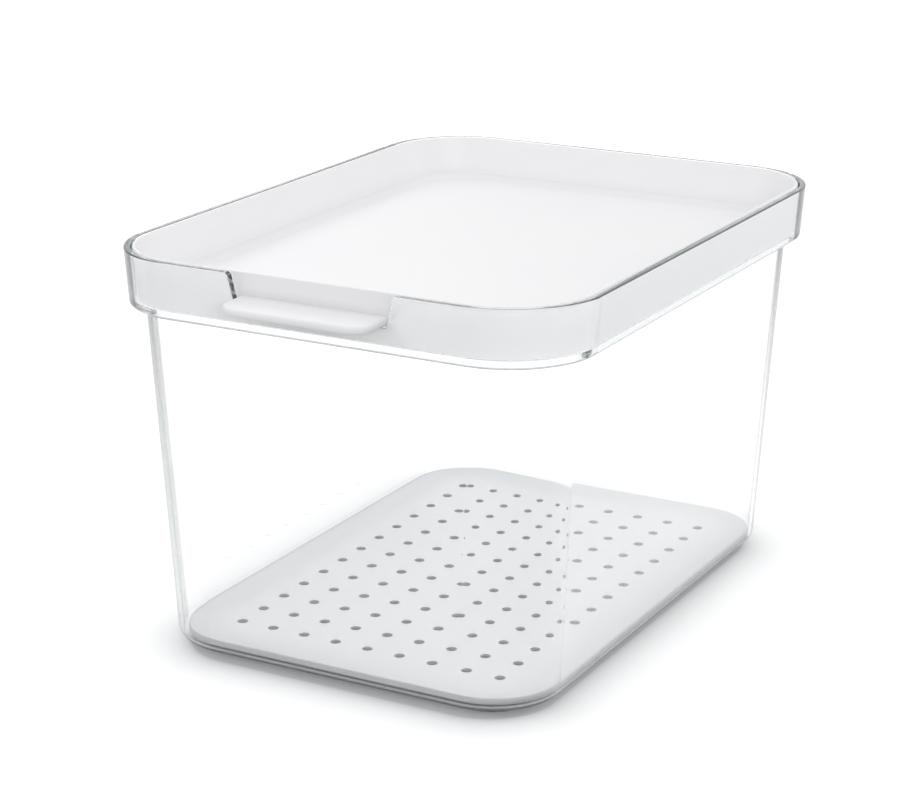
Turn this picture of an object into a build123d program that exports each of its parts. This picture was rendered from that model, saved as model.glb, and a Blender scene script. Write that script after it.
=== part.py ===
from build123d import *
import os
from math import radians, tan

# Fridge storage bin. A clear tub with a stepped-out collar holds a white dished lid, which sits
# inside the collar and reaches out through a notch with its pull tab. A perforated tray lies on
# the floor and keeps food out of the drained water.
#
# Millimetres and degrees. X is the width, Y the length and Z is up. The tab faces -Y, and z = 0
# is what the foot ring stands on. An inset is measured inwards from the outside of the rim. The
# sides are the two long walls, and the ends are the walls at the front and the back.

# Tub
rim_width = 221.0
rim_length = 300.0
rim_corner_radius = 41.0
total_height = 182.6
collar_height = 25.4
collar_draft = 4.0
collar_wall = 3.0
collar_underside_round = 2.2
ledge_step = 6.9
ledge_thickness = 3.5
side_draft = 3.2
end_draft = 1.9
body_wall = 2.2
body_corner_radius = 32.5
base_thickness = 2.2
base_outer_round = 6.0
base_inner_round = 3.0
foot_height = 3.5
foot_width = 3.0
foot_inset_from_body = 11.0
neck_round = 1.2
rim_round = 0.8
ledge_corner_round = 0.7

# Notch in the front of the collar
notch_half_width_top = 39.0
notch_half_width_bottom = 35.9
notch_floor = 168.4
notch_top_round = 2.6
notch_bottom_round = 2.0

# Lid
lid_gap = 0.8
lid_wall_top = 1.2
lid_wall_foot_inset = 10.5
lid_wall_foot_rise = 1.7
lid_floor_inset = 17.3
lid_floor = 164.0
lid_floor_thickness = 2.5
lid_skirt_foot_width = 3.0
lid_edge_round = 0.5

# Pull tab
tab_top = 172.6
tab_thickness = 3.8
tab_reach = 16.5
tab_half_width_root = 35.1
tab_half_width_front = 34.5
tab_corner_radius = 9.0
tab_top_round = 1.3
tab_bottom_round = 2.0
tab_root_round = 4.5
tab_root_reach = 5.6
tab_root_depth = 1.5

# Drain tray
tray_width = 180.8
tray_length = 263.0
tray_corner_radius = 30.0
tray_thickness = 1.4
tray_lip_height = 1.6
tray_lip_width = 1.4
tray_lip_reach = 9.0
tray_lip_foot_round = 8.0
tray_rib_height = 0.8
tray_rib_width = 1.5
tray_rib_inset = 3.5
tray_edge_round = 0.6
hole_radius = 2.4
hole_columns = 9
hole_rows = 13
hole_pitch_x = 16.2
hole_pitch_y = 17.4
pad_radius = 3.0
pad_columns = 2
pad_rows = 4
holes_between_pads = 3

# How far a block that cuts reaches past what it cuts, and how exactly an edge's place is met
cut_margin = 1.0
tolerance = 0.01

# Levels and insets that follow from the driving dimensions
floor_level = foot_height + base_thickness
ledge_underside = total_height - collar_height
ledge_level = ledge_underside + ledge_thickness
tray_underside = floor_level + tray_rib_height
body_top_inset = collar_height * tan(radians(collar_draft)) + ledge_step

# The box round the bin reaches out to the tab, and its middle is at y = 0.
middle_y = tab_reach / 2
front_face = middle_y - rim_length / 2


def collar_inset(level):
    """Inset of the collar's outside at a level."""
    return (total_height - level) * tan(radians(collar_draft))


def outline(side_inset, end_inset, radius, level):
    """Rounded rectangle, inset from the rim and lying at a level."""
    shape = RectangleRounded(rim_width - 2 * side_inset, rim_length - 2 * end_inset, radius)
    return Pos(0, middle_y, level) * shape


def concentric(inset, level):
    """Outline whose corners share their centres with the rim's corners."""
    return outline(inset, inset, rim_corner_radius - inset, level)


def body_outline(level, depth):
    """Outline at a level of a face that lies a depth inside the lower wall's outside."""
    drop = ledge_underside - level
    side_inset = body_top_inset + drop * tan(radians(side_draft)) + depth
    end_inset = body_top_inset + drop * tan(radians(end_draft)) + depth
    return outline(side_inset, end_inset, body_corner_radius - depth, level)


def edges_at(solid, level, widest):
    """Edges that lie at one level, no further out sideways than the half width given."""
    flat = solid.edges().filter_by_position(Axis.Z, level - tolerance, level + tolerance)
    return [edge for edge in flat if edge.bounding_box().max.X < widest]


def make_tub_outside():
    """Solid block with the outer shape of collar and lower body."""
    collar = loft(
        [
            concentric(collar_inset(ledge_underside), ledge_underside),
            concentric(0, total_height),
        ],
        ruled=True,
    )
    collar = fillet(edges_at(collar, ledge_underside, rim_width), collar_underside_round)
    collar = fillet(edges_at(collar, total_height, rim_width), rim_round)
    body = loft([body_outline(foot_height, 0), body_outline(ledge_underside, 0)], ruled=True)
    body = fillet(edges_at(body, foot_height, rim_width), base_outer_round)
    block = collar + body
    neck = edges_at(block, ledge_underside, rim_width / 2 - body_top_inset + neck_round)
    return fillet(neck, neck_round)


def make_tub_inside():
    """Solid with the shape of the space in the tub, open above the rim."""
    above_rim = total_height + rim_round
    collar_inside = loft(
        [
            concentric(collar_inset(ledge_level) + collar_wall, ledge_level),
            concentric(collar_inset(above_rim) + collar_wall, above_rim),
        ],
        ruled=True,
    )
    collar_inside = fillet(edges_at(collar_inside, ledge_level, rim_width), ledge_corner_round)
    body_inside = loft(
        [body_outline(floor_level, body_wall), body_outline(ledge_level, body_wall)],
        ruled=True,
    )
    body_inside = fillet(edges_at(body_inside, floor_level, rim_width), base_inner_round)
    return collar_inside + body_inside


def make_notch():
    """Block that cuts the notch through the front of the collar, with its corners rounded."""
    flare = notch_half_width_top + 2 * notch_top_round
    above_rim = total_height + notch_top_round
    right_side = [
        (notch_half_width_bottom, notch_floor),
        (notch_half_width_top, total_height),
        (flare, total_height),
        (flare, above_rim),
    ]
    left_side = [(-x, z) for x, z in reversed(right_side)]
    face = make_face(Polyline(*right_side, *left_side, close=True))
    face = fillet(corners_at(face, notch_half_width_top), notch_top_round)
    face = fillet(corners_at(face, notch_half_width_bottom), notch_bottom_round)
    upright = Plane(origin=(0, front_face - cut_margin, 0), x_dir=(1, 0, 0), z_dir=(0, -1, 0))
    depth = collar_wall + collar_inset(notch_floor) + 2 * cut_margin
    return extrude(upright * face, -depth)


def corners_at(face, half_width):
    """The pair of corners of a flat face that stand at a half width either side."""
    return [
        corner for corner in face.vertices() if abs(abs(corner.X) - half_width) < tolerance
    ]


def make_foot_ring():
    """Low ring under the base, set in from the body's rounded bottom edge."""
    outside = body_outline(foot_height, foot_inset_from_body)
    inside = body_outline(foot_height, foot_inset_from_body + foot_width)
    return extrude(outside, -foot_height) - extrude(inside, -foot_height)


def make_tub():
    """Clear tub: collar, ledge, lower body, base and foot ring in one moulding."""
    return make_tub_outside() - make_tub_inside() - make_notch() + make_foot_ring()


def lid_front(level):
    """Where the lid's front wall has its outside at a level."""
    return front_face + collar_inset(level) + collar_wall + lid_gap


def tab_rim(tongue, level, root_y):
    """Edges round the tongue at a level, without the one in the lid's wall."""
    return [edge for edge in edges_at(tongue, level, rim_width) if edge.center().Y < root_y]


def make_tab():
    """Pull tab: a flat tongue that narrows slightly towards its rounded front."""
    root_y = lid_front(tab_top) + tab_root_depth
    front_y = front_face - tab_reach
    corners = [
        (-tab_half_width_root, root_y),
        (-tab_half_width_front, front_y),
        (tab_half_width_front, front_y),
        (tab_half_width_root, root_y),
    ]
    face = make_face(Polyline(*corners, close=True))
    front_corners = face.vertices().group_by(Axis.Y)[0]
    face = fillet(front_corners, tab_corner_radius)
    underside = tab_top - tab_thickness
    tongue = extrude(Pos(0, 0, underside) * face, tab_thickness)
    tongue = fillet(tab_rim(tongue, underside, root_y - tolerance), tab_bottom_round)
    return fillet(tab_rim(tongue, tab_top, root_y - tolerance), tab_top_round)


def make_tab_cove():
    """Cove between the tab's top and the lid's wall, as wide as the flat of the tab's top."""
    above = tab_top + tab_root_reach
    profile = [
        (lid_front(tab_top) - tab_root_reach, tab_top),
        (lid_front(tab_top), tab_top),
        (lid_front(above), above),
        (lid_front(above) + tab_root_depth, above),
        (lid_front(tab_top) + tab_root_depth, tab_top - tab_root_depth),
        (lid_front(tab_top) - tab_root_reach, tab_top - tab_root_depth),
    ]
    face = make_face(Plane.YZ * Polyline(*profile, close=True))
    corner = face.vertices().sort_by_distance((0, lid_front(tab_top), tab_top))[0]
    face = fillet(corner, tab_root_round)
    return extrude(face, tab_half_width_root - tab_top_round, both=True)


def make_lid():
    """White dished lid with its pull tab."""
    top_inset = collar_wall + lid_gap
    block = loft(
        [
            concentric(collar_inset(ledge_level) + top_inset, ledge_level),
            concentric(top_inset, total_height),
        ],
        ruled=True,
    )
    foot_level = lid_floor + lid_wall_foot_rise
    dish_wall = loft(
        [
            concentric(lid_wall_foot_inset, foot_level),
            concentric(top_inset + lid_wall_top, total_height),
        ],
        ruled=True,
    )
    dish_floor = loft(
        [concentric(lid_floor_inset, lid_floor), concentric(lid_wall_foot_inset, foot_level)],
        ruled=True,
    )
    hollow_inset = collar_inset(ledge_level) + top_inset + lid_skirt_foot_width
    hollow_height = lid_floor - lid_floor_thickness - ledge_level
    hollow = extrude(concentric(hollow_inset, ledge_level), hollow_height)
    lid = block - dish_wall - dish_floor - hollow
    lid = fillet(edges_at(lid, total_height, rim_width), lid_edge_round)
    return lid + make_tab() + make_tab_cove()


def grid(columns, rows, pitch_x, pitch_y):
    """Points of a rectangular grid about the bin's middle."""
    return [
        Pos((column - (columns - 1) / 2) * pitch_x, middle_y + (row - (rows - 1) / 2) * pitch_y)
        for column in range(columns)
        for row in range(rows)
    ]


def tray_outline(inset, level):
    """Rounded rectangle, inset from the tray's edge and lying at a level."""
    shape = RectangleRounded(
        tray_width - 2 * inset, tray_length - 2 * inset, tray_corner_radius - inset
    )
    return Pos(0, middle_y, level) * shape


def make_tray():
    """Perforated tray whose edge sweeps up to a low lip, on a rib and on pads in the middle."""
    tray_top = tray_underside + tray_thickness
    lip_top = tray_top + tray_lip_height
    plate = extrude(tray_outline(0, tray_underside), lip_top - tray_underside)
    plate = fillet(edges_at(plate, tray_underside, rim_width), tray_edge_round)
    plate -= loft(
        [tray_outline(tray_lip_reach, tray_top), tray_outline(tray_lip_width, lip_top)],
        ruled=True,
    )
    plate = fillet(edges_at(plate, tray_top, rim_width), tray_lip_foot_round)
    plate = fillet(edges_at(plate, lip_top, rim_width), tray_edge_round)
    rib = extrude(tray_outline(tray_rib_inset, floor_level), tray_rib_height)
    rib -= extrude(tray_outline(tray_rib_inset + tray_rib_width, floor_level), tray_rib_height)
    tray = plate + rib
    pad_pitch_x = holes_between_pads * hole_pitch_x
    pad_pitch_y = holes_between_pads * hole_pitch_y
    for place in grid(pad_columns, pad_rows, pad_pitch_x, pad_pitch_y):
        tray += extrude(Pos(0, 0, floor_level) * place * Circle(pad_radius), tray_rib_height)
    hole_depth = tray_top - floor_level + cut_margin
    holes = [
        extrude(Pos(0, 0, floor_level) * place * Circle(hole_radius), hole_depth)
        for place in grid(hole_columns, hole_rows, hole_pitch_x, hole_pitch_y)
    ]
    return tray - holes


parts = {
    "bin_body": make_tub(),
    "lid": make_lid(),
    "drain_tray": make_tray(),
}

os.makedirs("parts", exist_ok=True)
for name, part in parts.items():
    export_step(part, f"parts/{name}.step")
    box = part.bounding_box()
    print(name, len(part.solids()), round(part.volume), box.min, box.max)
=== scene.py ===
import logging
import math
from collections.abc import Callable
from dataclasses import dataclass
from enum import Enum
from functools import partial
from typing import Any

import bmesh
import bpy
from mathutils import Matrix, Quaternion, Vector


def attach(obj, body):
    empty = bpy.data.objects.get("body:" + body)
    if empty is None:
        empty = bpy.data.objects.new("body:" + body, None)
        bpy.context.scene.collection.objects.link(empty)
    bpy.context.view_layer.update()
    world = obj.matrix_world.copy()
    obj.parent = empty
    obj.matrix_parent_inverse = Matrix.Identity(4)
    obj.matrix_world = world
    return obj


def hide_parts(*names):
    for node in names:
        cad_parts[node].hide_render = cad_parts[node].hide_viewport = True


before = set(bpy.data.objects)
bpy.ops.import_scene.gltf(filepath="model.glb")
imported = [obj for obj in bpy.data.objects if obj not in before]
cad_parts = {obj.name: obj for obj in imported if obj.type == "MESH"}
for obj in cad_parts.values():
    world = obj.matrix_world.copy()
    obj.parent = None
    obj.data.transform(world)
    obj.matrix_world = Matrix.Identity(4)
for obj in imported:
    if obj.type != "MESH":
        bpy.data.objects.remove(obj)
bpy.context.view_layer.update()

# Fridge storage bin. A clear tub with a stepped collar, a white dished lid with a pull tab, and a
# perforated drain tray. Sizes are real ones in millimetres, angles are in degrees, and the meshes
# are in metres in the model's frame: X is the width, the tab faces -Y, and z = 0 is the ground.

MM = 0.001
LOG = logging.getLogger("storage_bin")
# An outline is lifted this far while it is bridged to the one before it.
BRIDGE_LIFT = 400.0
# Pieces that rest on clear plastic are shown this far above it, as two faces in one place
# would come out black.
SEAT_GAP = 0.05
# Edges sharper than this stay crisp where a piece is shaded smooth.
CREASE_ANGLE = 35.0
# 50 is neutral, and 100 lets the larger faces decide how a smooth piece is shaded.
LARGE_FACE_WEIGHT = 100
# Input numbers of the two colours of a Mix node.
COLOUR_A, COLOUR_B = 6, 7
WHITE = (1.0, 1.0, 1.0, 1.0)
# What can feed a node's input.
Source = bpy.types.Node | bpy.types.NodeSocket


class Body(Enum):
    """The bodies of the model that the pieces move with."""

    TUB = "tub"
    LID = "lid"
    TRAY = "tray"


class Slot(Enum):
    """The record's material slots."""

    CLEAR = "clear_plastic"
    LID = "white_lid"
    TRAY = "pale_tray"


class Part(Enum):
    """Kinds of mesh element: the name is a bevel's word for it, the value is edit mode's."""

    VERTICES = "VERT"
    EDGES = "EDGE"
    FACES = "FACE"


class Change(Enum):
    """What a tool does to the piece that it is combined with."""

    CUT = "DIFFERENCE"
    JOIN = "UNION"


# Driving sizes that several pieces share


@dataclass(frozen=True)
class BinPlan:
    """Sizes of the bin's outline that the tub, the lid and the tray are worked out from."""

    rim_width: float = 221.0
    rim_length: float = 300.0
    rim_corner_radius: float = 41.0
    total_height: float = 182.6
    collar_height: float = 25.4
    collar_draft: float = 4.0
    collar_wall: float = 3.0
    ledge_step: float = 6.9
    ledge_thickness: float = 3.5
    side_draft: float = 3.2
    end_draft: float = 1.9
    foot_height: float = 3.5
    base_thickness: float = 2.2
    tab_reach: float = 16.5

    @property
    def middle_y(self) -> float:
        """The bin's middle, which the tab's reach moves back from y = 0."""
        return self.tab_reach / 2

    @property
    def front_face(self) -> float:
        """Where the outside of the rim is at the front."""
        return self.middle_y - self.rim_length / 2

    @property
    def floor_level(self) -> float:
        """Level of the tub's floor inside."""
        return self.foot_height + self.base_thickness

    @property
    def ledge_underside(self) -> float:
        """Level of the collar's underside."""
        return self.total_height - self.collar_height

    @property
    def ledge_level(self) -> float:
        """Level of the ledge that the lid rests on."""
        return self.ledge_underside + self.ledge_thickness

    @property
    def body_top_inset(self) -> float:
        """Inset of the lower wall's outside right under the collar."""
        return self.collar_inset(self.ledge_underside) + self.ledge_step

    def collar_inset(self, level: float) -> float:
        """Inset of the collar's outside at a level."""
        return (self.total_height - level) * math.tan(math.radians(self.collar_draft))

    def body_inset(self, level: float) -> float:
        """Inset of the lower wall's outside at a level, on the two long sides."""
        drop = self.ledge_underside - level
        return self.body_top_inset + drop * math.tan(math.radians(self.side_draft))

    def end_shift(self, level: float) -> float:
        """Difference between the lower wall's inset at its ends and on its sides.

        Args:
            level: The level.

        Returns:
            The difference, which is below zero because the ends are steeper.
        """
        drop = self.ledge_underside - level
        side_slope = math.tan(math.radians(self.side_draft))
        return drop * (math.tan(math.radians(self.end_draft)) - side_slope)


# Outlines and sections


@dataclass(frozen=True)
class Outline:
    """Flat rounded rectangle about the bin's upright axis."""

    half_x: float
    half_y: float
    radius: float
    level: float


@dataclass(frozen=True)
class Turn:
    """A corner in a moulding's cross-section.

    The inset is measured inwards from the sides of the moulding's own base rectangle, and at its
    ends the shift is added to it. Radius is the outline's corner radius there, and rounding is the
    fillet that blends the corner away.
    """

    inset: float
    level: float
    radius: float
    rounding: float = 0.0
    steps: int = 6
    shift: float = 0.0

    @classmethod
    def parallel(
        cls, corner: float, inset: float, level: float, rounding: float = 0.0, steps: int = 3
    ) -> "Turn":
        """A turn whose corner radius is the given one less its inset, as in an even wall."""
        return cls(inset, level, corner - inset, rounding, steps)


@dataclass(frozen=True)
class Section:
    """A moulding's cross-section, from the middle of its underside to the middle of its top."""

    width: float
    length: float
    turns: tuple[Turn, ...]

    def outlines(self) -> list[Outline]:
        """Work out every outline that the section passes through, with its corners rounded.

        Returns:
            The outlines in order along the section.
        """
        points: list[tuple[float, float, float, float]] = []
        last = len(self.turns) - 1
        for index, turn in enumerate(self.turns):
            if turn.rounding and 0 < index < last:
                points += self._rounded(self.turns[index - 1], turn, self.turns[index + 1])
            else:
                points.append((turn.inset, turn.level, turn.radius, turn.shift))
        return [
            Outline(self.width / 2 - inset, self.length / 2 - inset - shift, radius, level)
            for inset, level, radius, shift in points
        ]

    @staticmethod
    def _rounded(
        before: Turn, turn: Turn, after: Turn
    ) -> list[tuple[float, float, float, float]]:
        """Replace a corner of the section by an arc.

        Args:
            before: The corner before this one.
            turn: The corner to round.
            after: The corner after this one.

        Returns:
            Inset, level, outline radius and shift of each point along the arc.
        """
        corner = Vector((turn.inset, turn.level))
        back = Vector((before.inset, before.level)) - corner
        ahead = Vector((after.inset, after.level)) - corner
        half_angle = back.angle(ahead) / 2
        tangent = turn.rounding / math.tan(half_angle)
        start = corner + back.normalized() * tangent
        end = corner + ahead.normalized() * tangent
        inward = (back.normalized() + ahead.normalized()).normalized()
        centre = corner + inward * (turn.rounding / math.sin(half_angle))
        back_share = tangent / back.length
        ahead_share = tangent / ahead.length
        radii = (
            turn.radius + (before.radius - turn.radius) * back_share,
            turn.radius,
            turn.radius + (after.radius - turn.radius) * ahead_share,
        )
        shifts = (
            turn.shift + (before.shift - turn.shift) * back_share,
            turn.shift,
            turn.shift + (after.shift - turn.shift) * ahead_share,
        )
        sweep = math.pi - 2 * half_angle
        spoke = start - centre
        side = 1.0 if spoke.x * (end - centre).y - spoke.y * (end - centre).x > 0 else -1.0
        points: list[tuple[float, float, float, float]] = []
        for step in range(turn.steps + 1):
            angle = side * sweep * step / turn.steps
            turned = Vector(
                (
                    spoke.x * math.cos(angle) - spoke.y * math.sin(angle),
                    spoke.x * math.sin(angle) + spoke.y * math.cos(angle),
                )
            )
            place = centre + turned
            shares = _shares(place, start, corner, end)
            radius = sum(share * value for share, value in zip(shares, radii))
            shift = sum(share * value for share, value in zip(shares, shifts))
            points.append((place.x, place.y, radius, shift))
        return points


def _shares(point: Vector, a: Vector, b: Vector, c: Vector) -> tuple[float, float, float]:
    """Weights of three corners that add up to a point in their plane.

    Args:
        point: The point.
        a: First corner.
        b: Second corner.
        c: Third corner.

    Returns:
        The three weights, which add up to 1.
    """
    ab = b - a
    ac = c - a
    ap = point - a
    area = ab.x * ac.y - ab.y * ac.x
    weight_b = (ap.x * ac.y - ap.y * ac.x) / area
    weight_c = (ab.x * ap.y - ab.y * ap.x) / area
    return 1 - weight_b - weight_c, weight_b, weight_c


# Modelling helpers


def deselect_all() -> None:
    """Clear the selection, so that an operator acts only on what is chosen next."""
    bpy.ops.object.select_all(action="DESELECT")


def choose(obj: bpy.types.Object) -> None:
    """Make one object the only selected and the active one.

    Args:
        obj: The object.
    """
    deselect_all()
    obj.select_set(True)
    bpy.context.view_layer.objects.active = obj


def select_where(obj: bpy.types.Object, part: Part, test: Callable[[Any], bool]) -> int:
    """Select the elements of the mesh in edit mode that pass a test.

    Args:
        obj: The object in edit mode.
        part: The kind of element.
        test: Called with each element, and true for those to select.

    Returns:
        How many elements are selected.
    """
    mesh = bmesh.from_edit_mesh(obj.data)
    groups = {Part.VERTICES: mesh.verts, Part.EDGES: mesh.edges, Part.FACES: mesh.faces}
    mesh.select_mode = {part.value}
    for group in groups.values():
        for element in group:
            element.select = False
    chosen = [element for element in groups[part] if test(element)]
    for element in chosen:
        element.select_set(True)
    mesh.select_flush_mode()
    bmesh.update_edit_mesh(obj.data)
    return len(chosen)


def near(value: float, target: float, tolerance: float = 0.02) -> bool:
    """Whether a coordinate in metres is at a size in millimetres, to a tolerance in those."""
    return abs(value - target * MM) < tolerance * MM


def start_plane(name: str) -> bpy.types.Object:
    """Add a plane one metre wide and go into its edit mode.

    Args:
        name: The name of the object and its mesh.

    Returns:
        The new object.
    """
    deselect_all()
    bpy.ops.mesh.primitive_plane_add(size=1)
    obj = bpy.context.object
    obj.name = name
    obj.data.name = name
    bpy.ops.object.mode_set(mode="EDIT")
    return obj


def round_off(reach: float, segments: int, part: Part = Part.EDGES) -> None:
    """Round off the selected edges or vertices by a bevel.

    Args:
        reach: How far the bevel reaches from each of them, in metres.
        segments: Faces along the round, or edges for a vertex of an outline.
        part: The kind of element that is rounded.
    """
    bpy.ops.mesh.bevel(
        offset_type="OFFSET",
        offset=reach,
        segments=segments,
        profile=0.5,
        affect=part.name,
        clamp_overlap=False,
    )


def add_outline(obj: bpy.types.Object, outline: Outline, middle_y: float, segments: int) -> range:
    """Add one outline of edges to the mesh in edit mode: a plane with its corners bevelled.

    Args:
        obj: The object in edit mode.
        outline: The outline to add.
        middle_y: Where the outline's middle is, in millimetres.
        segments: Edges in each rounded corner.

    Returns:
        The indices of the outline's vertices.
    """
    first = len(bmesh.from_edit_mesh(obj.data).verts)
    centre = (0.0, middle_y * MM, outline.level * MM)
    bpy.ops.mesh.select_mode(type="VERT")
    bpy.ops.mesh.select_all(action="DESELECT")
    bpy.ops.mesh.primitive_plane_add(size=1, location=centre)
    spans = (2 * outline.half_x * MM, 2 * outline.half_y * MM, 1)
    bpy.ops.transform.resize(value=spans, center_override=centre)
    round_off(outline.radius * MM, segments, Part.VERTICES)
    indices = range(first, len(bmesh.from_edit_mesh(obj.data).verts))
    select_where(obj, Part.VERTICES, lambda vertex: vertex.index in indices)
    bpy.ops.mesh.delete(type="ONLY_FACE")
    return indices


def loft(name: str, section: Section, middle_y: float, segments: int) -> bpy.types.Object:
    """Model a closed moulding by bridging the outlines of its section, one to the next.

    Args:
        name: The object's name.
        section: The cross-section.
        middle_y: Where the moulding's middle is, in millimetres.
        segments: Edges in each rounded corner.

    Returns:
        The new object, with its faces outwards.
    """
    obj = start_plane(name)
    bpy.ops.mesh.delete(type="VERT")
    loops: list[range] = []
    for outline in section.outlines():
        loops.append(add_outline(obj, outline, middle_y, segments))
        if len(loops) > 1:
            # Two outlines of one level can be bridged crosswise, so the new one is lifted first.
            pair = set(loops[-1]) | set(loops[-2])
            select_where(obj, Part.VERTICES, lambda vertex: vertex.index in loops[-1])
            bpy.ops.transform.translate(value=(0, 0, BRIDGE_LIFT * MM))
            select_where(
                obj, Part.EDGES, lambda edge: all(vertex.index in pair for vertex in edge.verts)
            )
            bpy.ops.mesh.bridge_edge_loops()
            select_where(obj, Part.VERTICES, lambda vertex: vertex.index in loops[-1])
            bpy.ops.transform.translate(value=(0, 0, -BRIDGE_LIFT * MM))
    for loop in (loops[0], loops[-1]):
        select_where(
            obj, Part.EDGES, lambda edge: all(vertex.index in loop for vertex in edge.verts)
        )
        bpy.ops.mesh.edge_face_add()
    bpy.ops.mesh.select_all(action="SELECT")
    bpy.ops.mesh.normals_make_consistent(inside=False)
    bpy.ops.object.mode_set(mode="OBJECT")
    return obj


def combine(obj: bpy.types.Object, tool: bpy.types.Object, change: Change) -> None:
    """Cut a tool out of an object or join it on, and remove the tool.

    Args:
        obj: The object that stays.
        tool: The object that is used up.
        change: Whether the tool cuts or is joined on.
    """
    choose(obj)
    bpy.ops.object.modifier_add(type="BOOLEAN")
    modifier = obj.modifiers[-1]
    modifier.operation = change.value
    modifier.solver = "EXACT"
    modifier.object = tool
    bpy.ops.object.modifier_apply(modifier=modifier.name)
    bpy.data.objects.remove(tool)


def smooth(obj: bpy.types.Object) -> None:
    """Shade an object smooth across its rounds, with its flat faces kept flat.

    Args:
        obj: The object.
    """
    choose(obj)
    bpy.ops.object.shade_smooth_by_angle(angle=math.radians(CREASE_ANGLE))
    bpy.ops.object.modifier_add(type="WEIGHTED_NORMAL")
    modifier = obj.modifiers[-1]
    modifier.keep_sharp = True
    modifier.weight = LARGE_FACE_WEIGHT
    bpy.ops.object.modifier_apply(modifier=modifier.name)


def finish_piece(
    obj: bpy.types.Object, material: bpy.types.Material, body: Body, node: str
) -> None:
    """Shade and dress a modelled piece, and tie it to the model.

    Args:
        obj: The modelled piece.
        material: Its finish.
        body: The body that it moves with.
        node: The solid that it replaces.
    """
    smooth(obj)
    obj.data.materials.clear()
    obj.data.materials.append(material)
    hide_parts(node)
    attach(obj, body.value)


# Materials


def linear(code: str) -> tuple[float, float, float, float]:
    """Turn an sRGB hex colour into linear numbers, by the curve of the sRGB standard.

    Args:
        code: The colour, such as "#F4F4F6".

    Returns:
        Linear red, green and blue, with an alpha of 1.
    """
    channels = []
    for start in (1, 3, 5):
        value = int(code[start : start + 2], 16) / 255
        channels.append(value / 12.92 if value <= 0.04045 else ((value + 0.055) / 1.055) ** 2.4)
    return (channels[0], channels[1], channels[2], 1.0)


def add_node(
    tree: bpy.types.NodeTree,
    kind: str,
    inputs: dict[int | str, Any] | None = None,
    links: dict[int | str, Source] | None = None,
    **settings: Any,
) -> bpy.types.Node:
    """Add one shader node with its settings, input values and incoming links.

    Args:
        tree: The node tree.
        kind: The node's type name, without the ShaderNode that each starts with.
        inputs: Values by the name or number of the input socket.
        links: What feeds an input socket, by its name or number: an output socket, or a node
            for the first of its outputs that is in use.
        settings: Properties of the node.

    Returns:
        The new node.
    """
    node = tree.nodes.new("ShaderNode" + kind)
    for name, value in settings.items():
        setattr(node, name, value)
    for socket, value in (inputs or {}).items():
        node.inputs[socket].default_value = value
    for socket, source in (links or {}).items():
        if isinstance(source, bpy.types.Node):
            source = next(output for output in source.outputs if output.enabled)
        tree.links.new(source, node.inputs[socket])
    return node


def new_tree(name: str) -> tuple[bpy.types.Material, bpy.types.NodeTree]:
    """Make an empty material.

    Args:
        name: The material's name.

    Returns:
        The material and its node tree.
    """
    material = bpy.data.materials.new(name)
    material.use_nodes = True
    material.node_tree.nodes.clear()
    return material, material.node_tree


def measure_from_middle(
    tree: bpy.types.NodeTree, place: bpy.types.Node, middle_y: float
) -> bpy.types.Node:
    """Measure how far a point lies from the bin's middle, along each axis.

    Args:
        tree: The node tree.
        place: Its Texture Coordinate node.
        middle_y: Where the bin's middle is, in millimetres.

    Returns:
        A node with the distances as a vector, none of them below zero.
    """
    add = partial(add_node, tree)
    shift = {"Location": (0, -middle_y * MM, 0)}
    centred = add("Mapping", shift, {"Vector": place.outputs["Object"]})
    return add("VectorMath", links={0: centred}, operation="ABSOLUTE")


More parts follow.
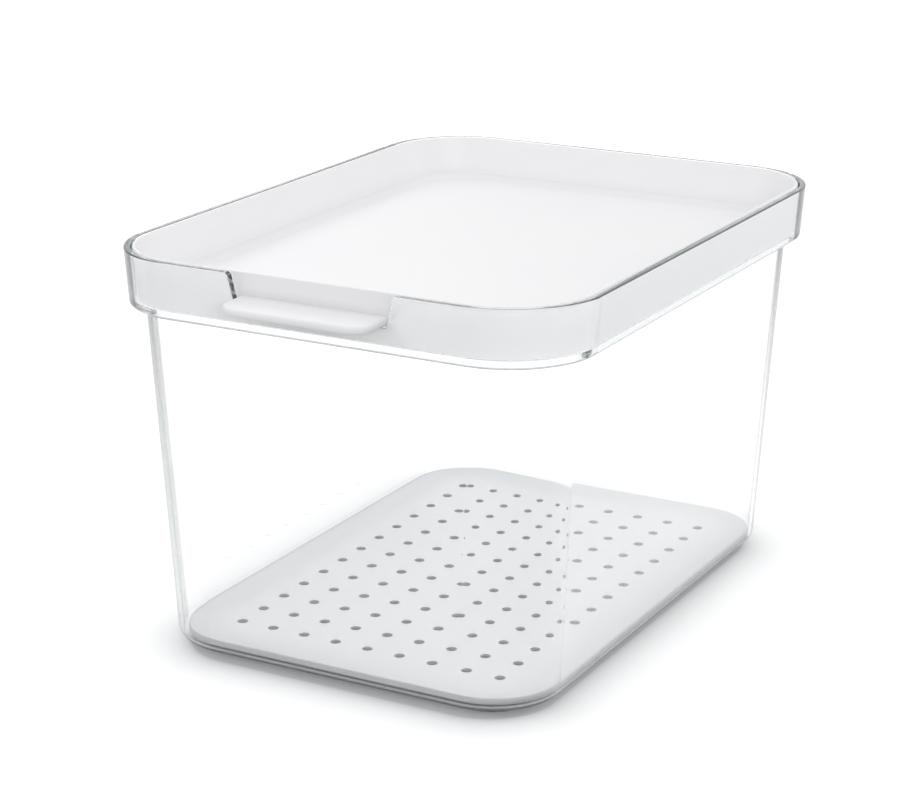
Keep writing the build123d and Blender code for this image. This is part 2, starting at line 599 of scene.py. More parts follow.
@dataclass(frozen=True)
class ClearStyreneAcrylonitrile:
    """Polished, injection-moulded SAN, the stiff clear plastic of fridge bins.

    It bends light a little more than glass does. Its surface is a polished tool's, so it is
    sharp and clear, with the faintest wipe marks. Shade is painted into its colour in place of a
    studio's dark surroundings seen in and through it, by how far a face turns from the eye: 0 is
    square to it and 1 is edge on.
    Each pair of numbers says where something starts and where it is full.
    """

    middle_y: float
    tint: str = "#FFFFFF"
    ior: float = 1.57
    # Wipe marks: size, the strengths of the pattern that show, and the most roughness
    wipe_size: float = 40.0
    wipe_strength: tuple[float, float] = (0.4, 0.8)
    wipe_roughness: float = 0.02
    # Painted shade on the rounded upright corners, where they turn away, darkest at the top
    corner_turn: tuple[float, float] = (0.59, 0.68)
    corner_levels: tuple[float, float] = (20.0, 170.0)
    painted_corner_shade_foot: str = "#BCBFBF"
    painted_corner_shade_top: str = "#222525"
    # Where the corners are: distances from the middle, and the upright part of the normal
    corner_x: float = 66.0
    corner_y: float = 106.0
    corner_blend: float = 3.0
    corner_lean: tuple[float, float] = (0.6, 0.3)
    # Painted shade, faint, on walls seen obliquely, growing towards the collar
    side_turn: tuple[float, float] = (0.45, 0.57)
    side_levels: tuple[float, float] = (45.0, 165.0)
    painted_side_shade: str = "#E9EBEB"
    # Painted shade, dark, everywhere it is seen edge on
    edge_turn: tuple[float, float] = (0.72, 0.95)
    painted_edge_shade: str = "#3C4141"
    # Painted shade on the round between the walls and the base, below a level, by how far it faces
    # down
    base_top: float = 10.0
    painted_base_shade_stops: tuple[tuple[float, str], ...] = (
        (0.0, "#FFFFFF"),
        (0.03, "#FFFFFF"),
        (0.08, "#D4D8DA"),
        (0.3, "#B0B4B6"),
        (0.8, "#B0B4B6"),
        (0.92, "#FFFFFF"),
    )
    # Shadow rays pass straight, and so do rays still inside after this many bounces, greyed as
    # painted shade
    shadow_tint: str = "#F8F9F9"
    trapped_depth: float = 10.0
    trapped_painted_shade: str = "#B0B5B5"
    # What light loses on its way through the plastic, per metre
    absorbed_colour: str = "#D9DDDD"
    absorption: float = 28.0

    def material(self) -> bpy.types.Material:
        """Build the material: clear plastic that bends what is behind it and lets lamps through.

        Returns:
            The material.
        """
        material, tree = new_tree("san_clear_polished")
        add = partial(add_node, tree)
        place = add("TexCoord")
        wipes = add(
            "TexNoise",
            {"Scale": 1 / (self.wipe_size * MM), "Detail": 3.0, "Roughness": 0.6},
            {"Vector": place.outputs["Object"]},
        )
        faint, strong = self.wipe_strength
        roughness = add(
            "MapRange",
            {"From Min": faint, "From Max": strong, "To Max": self.wipe_roughness},
            {"Value": wipes},
        )
        plastic = add(
            "BsdfPrincipled",
            {"IOR": self.ior, "Transmission Weight": 1.0},
            {"Base Color": self.painted_shades(tree, place), "Roughness": roughness},
        )
        rays = add("LightPath").outputs
        # Rays long trapped in the plastic pass on greyed: painted shade, as on the rim and the
        # notch's edges
        trapped = add(
            "Math", {1: self.trapped_depth}, {0: rays["Ray Depth"]}, operation="GREATER_THAN"
        )
        let_through = add(
            "Mix",
            {COLOUR_A: linear(self.shadow_tint), COLOUR_B: linear(self.trapped_painted_shade)},
            {0: trapped},
            data_type="RGBA",
        )
        passing = add("BsdfTransparent", links={"Color": let_through})
        shadow = rays["Is Shadow Ray"]
        straight = add("Math", links={0: shadow, 1: trapped}, operation="MAXIMUM")
        surface = add("MixShader", links={0: straight, 1: plastic, 2: passing})
        inside = add(
            "VolumeAbsorption",
            {"Color": linear(self.absorbed_colour), "Density": self.absorption},
        )
        add("OutputMaterial", links={"Surface": surface, "Volume": inside})
        return material

    def painted_shades(self, tree: bpy.types.NodeTree, place: bpy.types.Node) -> bpy.types.Node:
        """Paint shade into the colour at its corners, on its oblique walls, edge on and at its
        base.

        Args:
            tree: The material's node tree.
            place: Its Texture Coordinate node.

        Returns:
            The node with the colour and its painted shade.
        """
        add = partial(add_node, tree)
        turn = add("LayerWeight", {"Blend": 0.5}).outputs["Facing"]
        level = add("SeparateXYZ", links={0: place.outputs["Object"]}).outputs["Z"]
        shares: list[bpy.types.Node] = []
        for source, unit, easing, (start, end) in (
            (turn, 1, "SMOOTHSTEP", self.corner_turn),
            (level, MM, "LINEAR", self.corner_levels),
            (turn, 1, "SMOOTHSTEP", self.side_turn),
            (level, MM, "LINEAR", self.side_levels),
            (turn, 1, "SMOOTHSTEP", self.edge_turn),
        ):
            span = {"From Min": start * unit, "From Max": end * unit}
            shares.append(add("MapRange", span, {"Value": source}, interpolation_type=easing))
        corner_turned, corner_height, side_turned, side_height, edge_on = shares
        on_corners = self.corners(tree, place)
        corner = add("Math", links={0: corner_turned, 1: on_corners}, operation="MULTIPLY")
        side = add("Math", links={0: side_turned, 1: side_height}, operation="MULTIPLY")
        # Painted shade on the corners, from light at the foot to dark at the top
        dark = add(
            "Mix",
            {COLOUR_A: linear(self.painted_corner_shade_foot), COLOUR_B: linear(self.painted_corner_shade_top)},
            {0: corner_height},
            data_type="RGBA",
        )
        # Painted shade, faint, on oblique walls
        clear = add(
            "Mix",
            {COLOUR_A: linear(self.tint), COLOUR_B: linear(self.painted_side_shade)},
            {0: side},
            data_type="RGBA",
        )
        banded = add("Mix", links={0: corner, COLOUR_A: clear, COLOUR_B: dark}, data_type="RGBA")
        # Painted shade where the plastic is seen edge on
        edged = add(
            "Mix",
            {COLOUR_B: linear(self.painted_edge_shade)},
            {0: edge_on, COLOUR_A: banded},
            data_type="RGBA",
            blend_type="MULTIPLY",
        )
        # Painted shade on the round at the base
        return add(
            "Mix",
            {0: 1.0},
            {COLOUR_A: edged, COLOUR_B: self.painted_base_shade(tree, place, level)},
            data_type="RGBA",
            blend_type="MULTIPLY",
        )

    def painted_base_shade(
        self, tree: bpy.types.NodeTree, place: bpy.types.Node, level: bpy.types.NodeSocket
    ) -> bpy.types.Node:
        """Paint shade on the round between the walls and the base, where the plastic is seen edge
        on.

        Args:
            tree: The material's node tree.
            place: Its Texture Coordinate node.
            level: A socket with the height above the ground, in metres.

        Returns:
            The node with the painted shade on the round, and white elsewhere.
        """
        add = partial(add_node, tree)
        normal = add("SeparateXYZ", links={0: place.outputs["Normal"]})
        low = add("Math", {1: self.base_top * MM}, {0: level}, operation="LESS_THAN")
        down = add("Math", {1: -1.0}, {0: normal.outputs["Z"]}, operation="MULTIPLY")
        turned = add("Math", links={0: down, 1: low}, operation="MULTIPLY")
        ramp = add("ValToRGB", links={0: turned})
        stops = ramp.color_ramp.elements
        while len(stops) < len(self.painted_base_shade_stops):
            stops.new(1.0)
        for stop, (position, colour) in zip(stops, self.painted_base_shade_stops):
            stop.position = position
            stop.color = linear(colour)
        return ramp

    def corners(self, tree: bpy.types.NodeTree, place: bpy.types.Node) -> bpy.types.Node:
        """Mask the upright walls of the four rounded corners.

        Args:
            tree: The material's node tree.
            place: Its Texture Coordinate node.

        Returns:
            The node that is 1 on the corners' walls and 0 elsewhere.
        """
        add = partial(add_node, tree)
        past = add("SeparateXYZ", links={0: measure_from_middle(tree, place, self.middle_y)})
        upright = add("VectorMath", links={0: place.outputs["Normal"]}, operation="ABSOLUTE")
        lean = add("SeparateXYZ", links={0: upright})
        start_x, start_y, blend = self.corner_x * MM, self.corner_y * MM, self.corner_blend * MM
        mask = None
        for source, start, end in (
            (past.outputs["X"], start_x, start_x + blend),
            (past.outputs["Y"], start_y, start_y + blend),
            (lean.outputs["Z"], *self.corner_lean),
        ):
            span = {"From Min": start, "From Max": end}
            part = add("MapRange", span, {"Value": source}, interpolation_type="SMOOTHSTEP")
            if mask is not None:
                part = add("Math", links={0: mask, 1: part}, operation="MULTIPLY")
            mask = part
        return mask


@dataclass(frozen=True)
class MouldedPolypropylene:
    """Opaque white polypropylene from a finely eroded mould.

    It is satin, a little waxy, and its grain breaks the highlights up without showing by itself.
    """

    name: str
    colour: str
    shade: str
    # Painted shade in narrow hollows: its colour, how far a wall still counts as near, and how
    # open they are where that shade is full and where it is gone
    hollow_painted_shade: str
    cavity_reach: float = 5.0
    cavity_closed: float = 0.45
    cavity_open: float = 0.95
    # False where the walls of other pieces count too
    cavity_alone: bool = True
    cavity_samples: int = 8
    ior: float = 1.49
    roughness: float = 0.42
    roughness_spread: float = 0.08
    cloud_size: float = 60.0
    grain_size: float = 0.5
    grain_depth: float = 0.004
    grain_strength: float = 0.3

    def material(self) -> bpy.types.Material:
        """Build the material: clouded colour, painted shade in hollows, satin gloss and a fine
        grain.

        Returns:
            The material.
        """
        material, tree = new_tree(self.name)
        add = partial(add_node, tree)
        place = add("TexCoord").outputs["Object"]
        clouds = add(
            "TexNoise", {"Scale": 1 / (self.cloud_size * MM), "Detail": 2.0}, {"Vector": place}
        )
        clouded = add(
            "Mix",
            {COLOUR_A: linear(self.colour), COLOUR_B: linear(self.shade)},
            {0: clouds},
            data_type="RGBA",
        )
        # Painted shade: the colour darkens where a hollow's walls close round a point
        hollow = add(
            "AmbientOcclusion",
            {"Distance": self.cavity_reach * MM},
            samples=self.cavity_samples,
            only_local=self.cavity_alone,
        )
        openness = add(
            "MapRange",
            {"From Min": self.cavity_closed, "From Max": self.cavity_open},
            {"Value": hollow.outputs["AO"]},
        )
        colour = add(
            "Mix",
            {COLOUR_A: linear(self.hollow_painted_shade)},
            {0: openness, COLOUR_B: clouded},
            data_type="RGBA",
        )
        grain = add(
            "TexNoise", {"Scale": 1 / (self.grain_size * MM), "Detail": 1.0}, {"Vector": place}
        )
        least, most = self.roughness - self.roughness_spread, self.roughness + self.roughness_spread
        roughness = add("MapRange", {"To Min": least, "To Max": most}, {"Value": grain})
        bump = add(
            "Bump",
            {"Strength": self.grain_strength, "Distance": self.grain_depth * MM},
            {"Height": grain},
        )
        plastic = add(
            "BsdfPrincipled",
            {"IOR": self.ior},
            {"Base Color": colour, "Roughness": roughness, "Normal": bump},
        )
        add("OutputMaterial", links={"Surface": plastic})
        return material


# Pieces


@dataclass(frozen=True)
class Tub:
    """The clear tub: collar, ledge, drafted wall, base and foot ring in one moulding."""

    plan: BinPlan
    body_wall: float = 2.2
    body_corner_radius: float = 32.5
    foot_width: float = 3.0
    foot_inset_from_body: float = 11.0
    base_outer_round: float = 6.0
    base_inner_round: float = 3.0
    neck_round: float = 1.2
    collar_underside_round: float = 2.2
    rim_round: float = 0.8
    ledge_corner_round: float = 0.7
    foot_round: float = 0.5
    corner_segments: int = 32
    notch_half_width_top: float = 39.0
    notch_half_width_bottom: float = 35.9
    notch_floor: float = 168.4
    notch_top_round: float = 2.6
    notch_bottom_round: float = 2.0
    # Half the turn that the bevels of the notch's rounds are worked out for. The real one is
    # 38.8, so the rounds come out a ninth smaller than these radii.
    notch_half_turn: float = 35.5
    notch_segments: int = 8
    # How far the cutting block stands out of the wall, and how high its flange is
    cutter_margin: float = 1.0
    cutter_flange: float = 10.0

    def section(self) -> Section:
        """Work out the cross-section, from under the base over the rim to the floor.

        Returns:
            The section of the whole wall.
        """
        plan = self.plan
        foot_outside = plan.body_inset(plan.foot_height) + self.foot_inset_from_body
        foot_inside = foot_outside + self.foot_width
        middle = foot_inside + 2 * self.foot_width
        middle_radius = (self.body_corner_radius - self.body_wall) / 2
        foot_shift = plan.end_shift(plan.foot_height)
        ledge_inset = plan.collar_inset(plan.ledge_level) + plan.collar_wall
        collar_foot = plan.collar_inset(plan.ledge_underside)
        collar = partial(Turn.parallel, plan.rim_corner_radius)

        def foot(inset: float, level: float, rounding: float = self.foot_round) -> Turn:
            """A turn of the foot ring."""
            radius = self.body_corner_radius - (inset - plan.body_inset(plan.foot_height))
            return Turn(inset, level, radius, rounding, 3, foot_shift)

        def wall(level: float, depth: float, rounding: float, steps: int) -> Turn:
            """A turn of the drafted wall, at a depth inside its outer face."""
            inset, radius = plan.body_inset(level) + depth, self.body_corner_radius - depth
            return Turn(inset, level, radius, rounding, steps, plan.end_shift(level))

        turns = (
            foot(middle, plan.foot_height, 0),
            foot(foot_inside, plan.foot_height),
            foot(foot_inside, 0),
            foot(foot_outside, 0),
            foot(foot_outside, plan.foot_height),
            wall(plan.foot_height, 0, self.base_outer_round, steps=12),
            wall(plan.ledge_underside, 0, self.neck_round, steps=6),
            collar(collar_foot, plan.ledge_underside, self.collar_underside_round, steps=10),
            collar(0, plan.total_height, self.rim_round, steps=6),
            collar(plan.collar_wall, plan.total_height, self.rim_round, steps=6),
            collar(ledge_inset, plan.ledge_level, self.ledge_corner_round, steps=4),
            wall(plan.ledge_level, self.body_wall, self.foot_round, steps=4),
            wall(plan.floor_level, self.body_wall, self.base_inner_round, steps=8),
            Turn(middle, plan.floor_level, middle_radius, shift=plan.end_shift(plan.floor_level)),
        )
        return Section(plan.rim_width, plan.rim_length, turns)

    def notch_tool(self) -> bpy.types.Object:
        """Model the block that cuts the notch: tapered, with a flange above the rim.

        Returns:
            The block.
        """
        plan = self.plan
        front = plan.front_face - self.cutter_margin
        wall = plan.collar_wall + plan.collar_inset(self.notch_floor)
        depth = wall + 2 * self.cutter_margin
        low = self.notch_floor
        high = plan.total_height
        deselect_all()
        bpy.ops.mesh.primitive_cube_add(
            size=1, location=(0, (front + depth / 2) * MM, (low + high) / 2 * MM)
        )
        tool = bpy.context.object
        tool.name = "notch_tool"
        origin = tool.location.copy()
        bpy.ops.object.mode_set(mode="EDIT")
        spans = (2 * self.notch_half_width_bottom * MM, depth * MM, (high - low) * MM)
        bpy.ops.transform.resize(value=spans, center_override=tuple(origin))
        select_where(
            tool, Part.FACES, lambda face: near(face.calc_center_median().z + origin.z, high)
        )
        centre = (0, (front + depth / 2) * MM, high * MM)
        widen = self.notch_half_width_top / self.notch_half_width_bottom
        bpy.ops.transform.resize(value=(widen, 1, 1), center_override=centre)
        bpy.ops.mesh.extrude_region_move(TRANSFORM_OT_translate={"value": (0, 0, 0)})
        flare = self.notch_half_width_top + 2 * self.notch_top_round
        widen = flare / self.notch_half_width_top
        bpy.ops.transform.resize(value=(widen, 1, 1), center_override=centre)
        bpy.ops.mesh.extrude_region_move(
            TRANSFORM_OT_translate={"value": (0, 0, self.cutter_flange * MM)}
        )
        reach_share = math.tan(math.radians(self.notch_half_turn))
        for half_width, level, rounding in (
            (self.notch_half_width_top, high, self.notch_top_round),
            (self.notch_half_width_bottom, low, self.notch_bottom_round),
        ):
            select_where(
                tool,
                Part.EDGES,
                lambda edge: all(
                    near(abs(vertex.co.x), half_width) and near(vertex.co.z + origin.z, level)
                    for vertex in edge.verts
                )
                and edge.verts[0].co.x * edge.verts[1].co.x > 0,
            )
            round_off(rounding * MM * reach_share, self.notch_segments)
        bpy.ops.mesh.select_all(action="SELECT")
        bpy.ops.mesh.normals_make_consistent(inside=False)
        bpy.ops.object.mode_set(mode="OBJECT")
        bpy.ops.object.transform_apply(location=True, rotation=True, scale=True)
        return tool

    def build(self) -> bpy.types.Object:
        """Model the tub, cut its notch and dress it in clear plastic.

        Returns:
            The finished piece.
        """
        tub = loft("tub_clear", self.section(), self.plan.middle_y, self.corner_segments)
        combine(tub, self.notch_tool(), Change.CUT)
        finish = ClearStyreneAcrylonitrile(self.plan.middle_y)
        finish_piece(tub, finish.material(), Body.TUB, "bin_body")
        return tub


@dataclass(frozen=True)
class Lid:
    """The white lid: a dish that sits inside the collar, with the pull tab at the front."""

    plan: BinPlan
    gap: float = 0.8
    wall_top: float = 1.2
    wall_foot_inset: float = 10.5
    wall_foot_rise: float = 1.7
    wall_foot_round: float = 1.5
    floor_inset: float = 17.3
    floor_level: float = 164.0
    floor_thickness: float = 2.5
    floor_round: float = 1.0
    skirt_foot_width: float = 3.0
    edge_round: float = 0.5
    foot_round: float = 0.4
    corner_segments: int = 32
    tab_top: float = 172.6
    tab_thickness: float = 3.8
    tab_half_width_root: float = 35.1
    tab_half_width_front: float = 34.5
    tab_corner_radius: float = 9.0
    tab_corner_segments: int = 14
    tab_top_round: float = 1.3
    tab_bottom_round: float = 2.0
    tab_edge_segments: int = 5
    tab_root_round: float = 4.5
    tab_root_depth: float = 1.5
    tab_root_segments: int = 8

    @property
    def top_inset(self) -> float:
        """Inset of the lid's outside at the rim."""
        return self.plan.collar_wall + self.gap

    def front(self, level: float) -> float:
        """Where the lid's front wall has its outside at a level."""
        return self.plan.front_face + self.plan.collar_inset(level) + self.top_inset

    def section(self) -> Section:
        """Work out the cross-section, from under the floor over the edge to the dish.

        Returns:
            The section of the lid without its tab.
        """
        plan = self.plan
        outer_foot = plan.collar_inset(plan.ledge_level) + self.top_inset
        hollow = outer_foot + self.skirt_foot_width
        underside = self.floor_level - self.floor_thickness
        wall_foot = self.floor_level + self.wall_foot_rise
        inner_top = self.top_inset + self.wall_top
        seat = plan.ledge_level + SEAT_GAP
        turn = partial(Turn.parallel, plan.rim_corner_radius)
        turns = (
            turn(2 * hollow, underside),
            turn(hollow, underside, self.foot_round),
            turn(hollow, seat, self.foot_round),
            turn(outer_foot, seat, self.foot_round),
            turn(self.top_inset, plan.total_height, self.edge_round, steps=5),
            turn(inner_top, plan.total_height, self.edge_round, steps=5),
            turn(self.wall_foot_inset, wall_foot, self.wall_foot_round, steps=5),
            turn(self.floor_inset, self.floor_level, self.floor_round),
            turn(2 * self.floor_inset, self.floor_level),
        )
        return Section(plan.rim_width, plan.rim_length, turns)

    def tab(self) -> bpy.types.Object:
        """Model the pull tab: a plane, narrowed and rounded at the front, with some thickness.

        Returns:
            The tab, which reaches a little way into the lid's wall.
        """
        root = self.front(self.tab_top) + self.tab_root_depth
        front = self.plan.front_face - self.plan.tab_reach
        middle = (0, (root + front) / 2 * MM, self.tab_top * MM)
        tab = start_plane("tab")
        spans = (2 * self.tab_half_width_root * MM, (root - front) * MM, 1)
        bpy.ops.transform.resize(value=spans, center_override=(0, 0, 0))
        bpy.ops.transform.translate(value=middle)
        select_where(tab, Part.VERTICES, lambda vertex: near(vertex.co.y, front))
        narrow = self.tab_half_width_front / self.tab_half_width_root
        bpy.ops.transform.resize(value=(narrow, 1, 1), center_override=middle)
        round_off(self.tab_corner_radius * MM, self.tab_corner_segments, Part.VERTICES)
        bpy.ops.mesh.select_all(action="SELECT")
        bpy.ops.mesh.extrude_region_move(
            TRANSFORM_OT_translate={"value": (0, 0, -self.tab_thickness * MM)}
        )
        bpy.ops.mesh.select_all(action="SELECT")
        bpy.ops.mesh.normals_make_consistent(inside=False)
        for level, rounding in (
            (self.tab_top - self.tab_thickness, self.tab_bottom_round),
            (self.tab_top, self.tab_top_round),
        ):
            select_where(
                tab,
                Part.EDGES,
                lambda edge: all(near(vertex.co.z, level) for vertex in edge.verts)
                and not all(near(vertex.co.y, root) for vertex in edge.verts),
            )
            round_off(rounding * MM, self.tab_edge_segments)
        bpy.ops.object.mode_set(mode="OBJECT")
        return tab

    def build(self) -> bpy.types.Object:
        """Model the lid, join its tab on with a rounded root and dress it.

        Returns:
            The finished piece.
        """
        lid = loft("lid_white", self.section(), self.plan.middle_y, self.corner_segments)
        combine(lid, self.tab(), Change.JOIN)
        choose(lid)
        bpy.ops.object.mode_set(mode="EDIT")
        wall = self.front(self.tab_top)
        found = select_where(
            lid,
            Part.EDGES,
            lambda edge: all(
                near(vertex.co.z, self.tab_top, tolerance=0.05)
                and near(vertex.co.y, wall, tolerance=0.1)
                for vertex in edge.verts
            ),
        )
        LOG.info("tab root edges: %d", found)
        lean = math.radians(90 - self.plan.collar_draft)
        round_off(self.tab_root_round * MM / math.tan(lean / 2), self.tab_root_segments)
        bpy.ops.object.mode_set(mode="OBJECT")
        # Painted shade darkens the tab's root and the dish's creases
        finish = MouldedPolypropylene(
            name="pp_white_eroded", colour="#F5F5F6", shade="#F2F2F4", hollow_painted_shade="#E6E6E8"
        )
        finish_piece(lid, finish.material(), Body.LID, "lid")
        return lid


@dataclass(frozen=True)
class RodGrid:
    """A grid of equal upright rods about the bin's middle, from which holes and pads are made."""

    columns: int
    rows: int
    pitch_x: float
    pitch_y: float
    radius: float
    sides: int

    def build(self, middle_y: float, low: float, high: float) -> bpy.types.Object:
        """Model the rods as one object.

        Args:
            middle_y: Where the grid's middle is.
            low: Level of the rods' lower ends.
            high: Level of their upper ends.

        Returns:
            The joined rods.
        """
        rods: list[bpy.types.Object] = []
        for column in range(self.columns):
            for row in range(self.rows):
                x = (column - (self.columns - 1) / 2) * self.pitch_x
                y = middle_y + (row - (self.rows - 1) / 2) * self.pitch_y
                if rods:
                    rod = rods[0].copy()
                    rod.data = rods[0].data.copy()
                    bpy.context.scene.collection.objects.link(rod)
                else:
                    deselect_all()
                    bpy.ops.mesh.primitive_cylinder_add(
                        vertices=self.sides, radius=self.radius * MM, depth=(high - low) * MM
                    )
                    rod = bpy.context.object
                rod.location = (x * MM, y * MM, (low + high) / 2 * MM)
                rods.append(rod)
        deselect_all()
        for rod in rods:
            rod.select_set(True)
        bpy.context.view_layer.objects.active = rods[0]
        bpy.ops.object.join()
        joined = bpy.context.object
        bpy.ops.object.transform_apply(location=True, rotation=True, scale=True)
        return joined


@dataclass(frozen=True)
class DrainTray:
    """The perforated tray on the tub's floor, with a low lip round it, on a rib and pads."""

    plan: BinPlan
    width: float = 180.8
    length: float = 263.0
    corner_radius: float = 30.0
    corner_segments: int = 24
    thickness: float = 1.4
    lip_height: float = 1.6
    lip_width: float = 1.4
    lip_reach: float = 9.0
    lip_foot_round: float = 20.0
    rib_height: float = 0.8
    rib_width: float = 1.5
    rib_inset: float = 3.5
    edge_round: float = 0.6
    holes: RodGrid = RodGrid(9, 13, pitch_x=16.2, pitch_y=17.4, radius=2.4, sides=24)
    # How far the rods that cut the holes stand out of the tray
    cutter_margin: float = 1.0
    # The pads are three holes apart
    pads: RodGrid = RodGrid(2, 4, pitch_x=3 * 16.2, pitch_y=3 * 17.4, radius=3.0, sides=32)

    def section(self) -> Section:
        """Work out the cross-section, from under the plate over the lip to its top.

        Returns:
            The section of the tray without its pads and holes.
        """
        under = self.plan.floor_level + self.rib_height
        top = under + self.thickness
        lip = top + self.lip_height
        core = self.rib_inset + self.rib_width
        seat = self.plan.floor_level + SEAT_GAP
        turn = partial(Turn.parallel, self.corner_radius)
        turns = (
            turn(2 * self.lip_reach, under),
            turn(core, under),
            turn(core, seat),
            turn(self.rib_inset, seat),
            turn(self.rib_inset, under),
            turn(0, under, self.edge_round, steps=4),
            turn(0, lip, self.edge_round, steps=5),
            turn(self.lip_width, lip, self.edge_round, steps=4),
            turn(self.lip_reach, top, self.lip_foot_round, steps=6),
            turn(2 * self.lip_reach, top),
        )
        return Section(self.width, self.length, turns)

    def build(self) -> bpy.types.Object:
        """Model the tray with its pads and holes and dress it.

        Returns:
            The finished piece.
        """
        middle_y = self.plan.middle_y
        tray = loft("tray_perforated", self.section(), middle_y, self.corner_segments)
        floor = self.plan.floor_level
        under = floor + self.rib_height
        pads = self.pads.build(middle_y, floor + SEAT_GAP, under + self.thickness / 2)
        combine(tray, pads, Change.JOIN)
        holes = self.holes.build(
            middle_y, floor - self.cutter_margin, under + self.thickness + self.cutter_margin
        )
        combine(tray, holes, Change.CUT)
        # Painted shade darkens the holes and, with the tub's walls counted, the tray's sides
        finish = MouldedPolypropylene(
            name="pp_pale_tray",
            colour="#F4F5F7",
            shade="#F1F2F4",
            hollow_painted_shade="#B2B4B6",
            cavity_alone=False,
            roughness=0.48,
        )
        finish_piece(tray, finish.material(), Body.TRAY, "drain_tray")
        return tray


# Studio


@dataclass(frozen=True)
class Camera:
    """The photograph's camera, as worked out from the bin's outline in it."""

    azimuth: float = 28.55
    elevation: float = 17.47
    distance: float = 1140.1
    roll: float = 0.136
    target: tuple[float, float, float] = (-9.74, -4.22, 93.73)
    focal_pixels: float = 2480.0
    image_width: int = 900
    sensor_width: float = 36.0
    nearest: float = 50.0
    farthest: float = 50000.0

    def build(self) -> None:
        """Set up the camera and make it the scene's."""
        data = bpy.data.cameras.new("photograph")
        data.sensor_width = self.sensor_width
        data.lens = self.focal_pixels / self.image_width * self.sensor_width
        data.clip_start = self.nearest * MM
        data.clip_end = self.farthest * MM
        camera = bpy.data.objects.new("photograph", data)
        bpy.context.scene.collection.objects.link(camera)
        azimuth = math.radians(self.azimuth)
        elevation = math.radians(self.elevation)
        back = Vector(
            (
                math.sin(azimuth) * math.cos(elevation),
                -math.cos(azimuth) * math.cos(elevation),
                math.sin(elevation),
            )
        )
        camera.location = (Vector(self.target) + back * self.distance) * MM
        facing = (-back).to_track_quat("-Z", "Y")
        camera.rotation_mode = "QUATERNION"
        roll = Quaternion((0, 0, 1), math.radians(self.roll))
        camera.rotation_quaternion = facing @ roll
        bpy.context.scene.camera = camera


@dataclass(frozen=True)
class SoftBox:
    """One large soft lamp, square, aimed at the bin's middle."""

    name: str
    place: tuple[float, float, float]
    size: float
    watts: float
    aim_height: float = 80.0

    def build(self) -> None:
        """Hang the lamp."""
        data = bpy.data.lights.new(self.name, "AREA")
        data.shape = "SQUARE"
        data.size = self.size * MM
        data.energy = self.watts
        lamp = bpy.data.objects.new(self.name, data)
        lamp.location = Vector(self.place) * MM
        aim = Vector((0, 0, self.aim_height * MM)) - lamp.location
        lamp.rotation_mode = "QUATERNION"
        lamp.rotation_quaternion = aim.to_track_quat("-Z", "Y")
        bpy.context.scene.collection.objects.link(lamp)


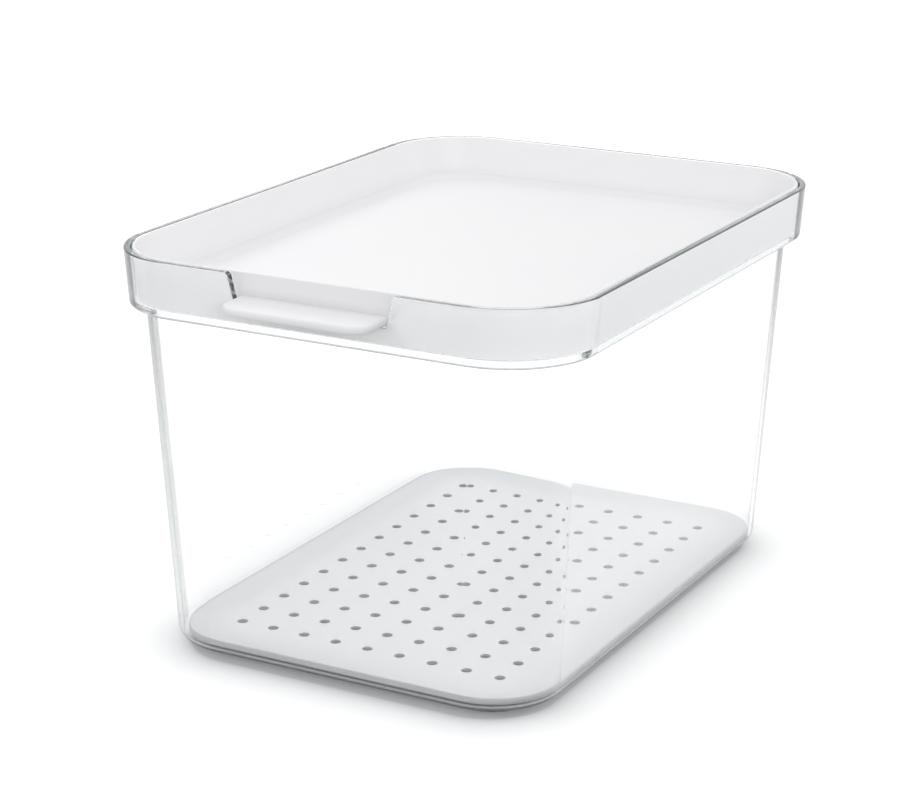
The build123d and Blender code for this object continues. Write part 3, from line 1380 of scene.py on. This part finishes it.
@dataclass(frozen=True)
class Studio:
    """Plain white studio: a pale floor, soft lamps and a surround that darkens upwards.

    The surround is white at eye level, where a backdrop would be, and grey higher up, so that
    the clear edges of the tub have something darker to bend into view.
    """

    middle_y: float
    # Paper floor, just below the bin, so that the two never touch
    floor_half_size: float = 12000.0
    floor_colour: str = "#CECFD0"
    floor_drop: float = 0.1
    # Glow that makes it white away from the bin, and its strength under the bin
    floor_glow: float = 0.64
    glow_in_painted_shadow: float = 0.10
    # Painted shadow at the bin's foot: a rounded rectangle without the full glow,
    # and how the glow rises outside it
    painted_shadow_half_x: float = 89.0
    painted_shadow_half_y: float = 133.0
    painted_shadow_corner: float = 32.0
    painted_shadow_fade: float = 48.0
    fade_power: float = 0.36
    # Surround: its strengths, the heights where they start and end, and its light on the pieces
    backdrop: float = 1.0
    ceiling: float = 0.45
    backdrop_top: float = 0.35
    ceiling_start: float = 0.65
    daylight: float = 0.56
    boxes: tuple[SoftBox, ...] = (
        SoftBox("soft_box_above", (0, 200, 2200), 1500, 5.0),
        SoftBox("soft_box_front_left", (-1300, -1300, 1500), 1100, 7.7),
        SoftBox("soft_box_front_right", (1400, -1400, 1100), 1100, 9.5),
        SoftBox("soft_box_back_left", (-1300, 1400, 1500), 1100, 6.5),
        SoftBox("soft_box_back_right", (1400, 1300, 1500), 1100, 7.0),
    )
    # Light goes to and fro many times inside a clear wall before it comes out
    clear_bounces: int = 28
    glossy_bounces: int = 12

    def floor(self) -> None:
        """Model the floor: white from its glow, with the bin's shadow and painted shadow at its
        foot.
        """
        deselect_all()
        bpy.ops.mesh.primitive_plane_add(
            size=2 * self.floor_half_size * MM, location=(0, 0, -self.floor_drop * MM)
        )
        bpy.ops.object.transform_apply(location=True, rotation=True, scale=True)
        floor = bpy.context.object
        floor.name = "floor"
        material, tree = new_tree("paper_sweep")
        add = partial(add_node, tree)
        paper = add("BsdfDiffuse", {"Color": linear(self.floor_colour)})
        glow = add("Emission", links={"Strength": self.glow(tree)})
        both = add("AddShader", links={0: paper, 1: glow})
        add("OutputMaterial", links={"Surface": both})
        floor.data.materials.append(material)

    def glow(self, tree: bpy.types.NodeTree) -> bpy.types.Node:
        """Work out how much the floor glows for the camera and for rays seen in the plastic.

        Args:
            tree: The floor's node tree.

        Returns:
            The node with the strength: low near the bin's foot, which paints a shadow there, full
            away from it, and 0 for the rays that light the pieces.
        """
        add = partial(add_node, tree)
        rays = add("LightPath").outputs
        seen = {0: rays["Is Camera Ray"], 1: rays["Is Glossy Ray"]}
        shown = {0: add("Math", links=seen, operation="MAXIMUM"), 1: rays["Is Transmission Ray"]}
        spread = measure_from_middle(tree, add("TexCoord"), self.middle_y)
        straight_x = (self.painted_shadow_half_x - self.painted_shadow_corner) * MM
        straight_y = (self.painted_shadow_half_y - self.painted_shadow_corner) * MM
        beyond = add(
            "VectorMath", {1: (straight_x, straight_y, 1)}, {0: spread}, operation="SUBTRACT"
        )
        outside = add("VectorMath", {1: (0, 0, 0)}, {0: beyond}, operation="MAXIMUM")
        distance = add("VectorMath", links={0: outside}, operation="LENGTH")
        start, end = self.painted_shadow_corner * MM, (self.painted_shadow_corner + self.painted_shadow_fade) * MM
        reach = add("MapRange", {"From Min": start, "From Max": end}, {"Value": distance})
        risen = add("Math", {1: self.fade_power}, {0: reach}, operation="POWER")
        level = add(
            "MapRange", {"To Min": self.glow_in_painted_shadow, "To Max": self.floor_glow}, {"Value": risen}
        )
        amount = {0: add("Math", links=shown, operation="MAXIMUM"), 1: level}
        return add("Math", links=amount, operation="MULTIPLY")

    def world(self) -> None:
        """Set up the surround: white for the camera and at eye level, grey above."""
        world = bpy.data.worlds.new("surround")
        world.use_nodes = True
        tree = world.node_tree
        tree.nodes.clear()
        add = partial(add_node, tree)
        rays = add("LightPath").outputs
        height = add("SeparateXYZ", links={0: add("TexCoord").outputs["Generated"]})
        strength = add(
            "MapRange",
            {
                "From Min": self.backdrop_top,
                "From Max": self.ceiling_start,
                "To Min": self.backdrop,
                "To Max": self.ceiling,
            },
            {"Value": height.outputs["Z"]},
        )
        light = add("Background", {"Color": WHITE}, {"Strength": strength})
        white = add("Background", {"Color": WHITE})
        soft = add("Background", {"Color": WHITE, "Strength": self.daylight})
        lit = add("MixShader", links={0: rays["Is Diffuse Ray"], 1: light, 2: soft})
        mix = add("MixShader", links={0: rays["Is Camera Ray"], 1: lit, 2: white})
        add("OutputWorld", links={"Surface": mix})
        bpy.context.scene.world = world

    def build(self) -> None:
        """Set up floor, surround, lamps and the plain view settings."""
        self.floor()
        self.world()
        for box in self.boxes:
            box.build()
        scene = bpy.context.scene
        scene.view_settings.view_transform = "Standard"
        scene.cycles.max_bounces = self.clear_bounces
        scene.cycles.transmission_bounces = self.clear_bounces
        scene.cycles.glossy_bounces = self.glossy_bounces


def main() -> None:
    """Build the bin's pieces in order, then the studio and the camera."""
    logging.basicConfig(level=logging.INFO, format="%(message)s")
    plan = BinPlan()
    for piece in (Tub(plan), Lid(plan), DrainTray(plan)):
        obj = piece.build()
        mesh = obj.data
        LOG.info("%s: %d vertices, %d faces", obj.name, len(mesh.vertices), len(mesh.polygons))
    Studio(plan.middle_y).build()
    Camera().build()


if __name__ == "__main__":
    main()
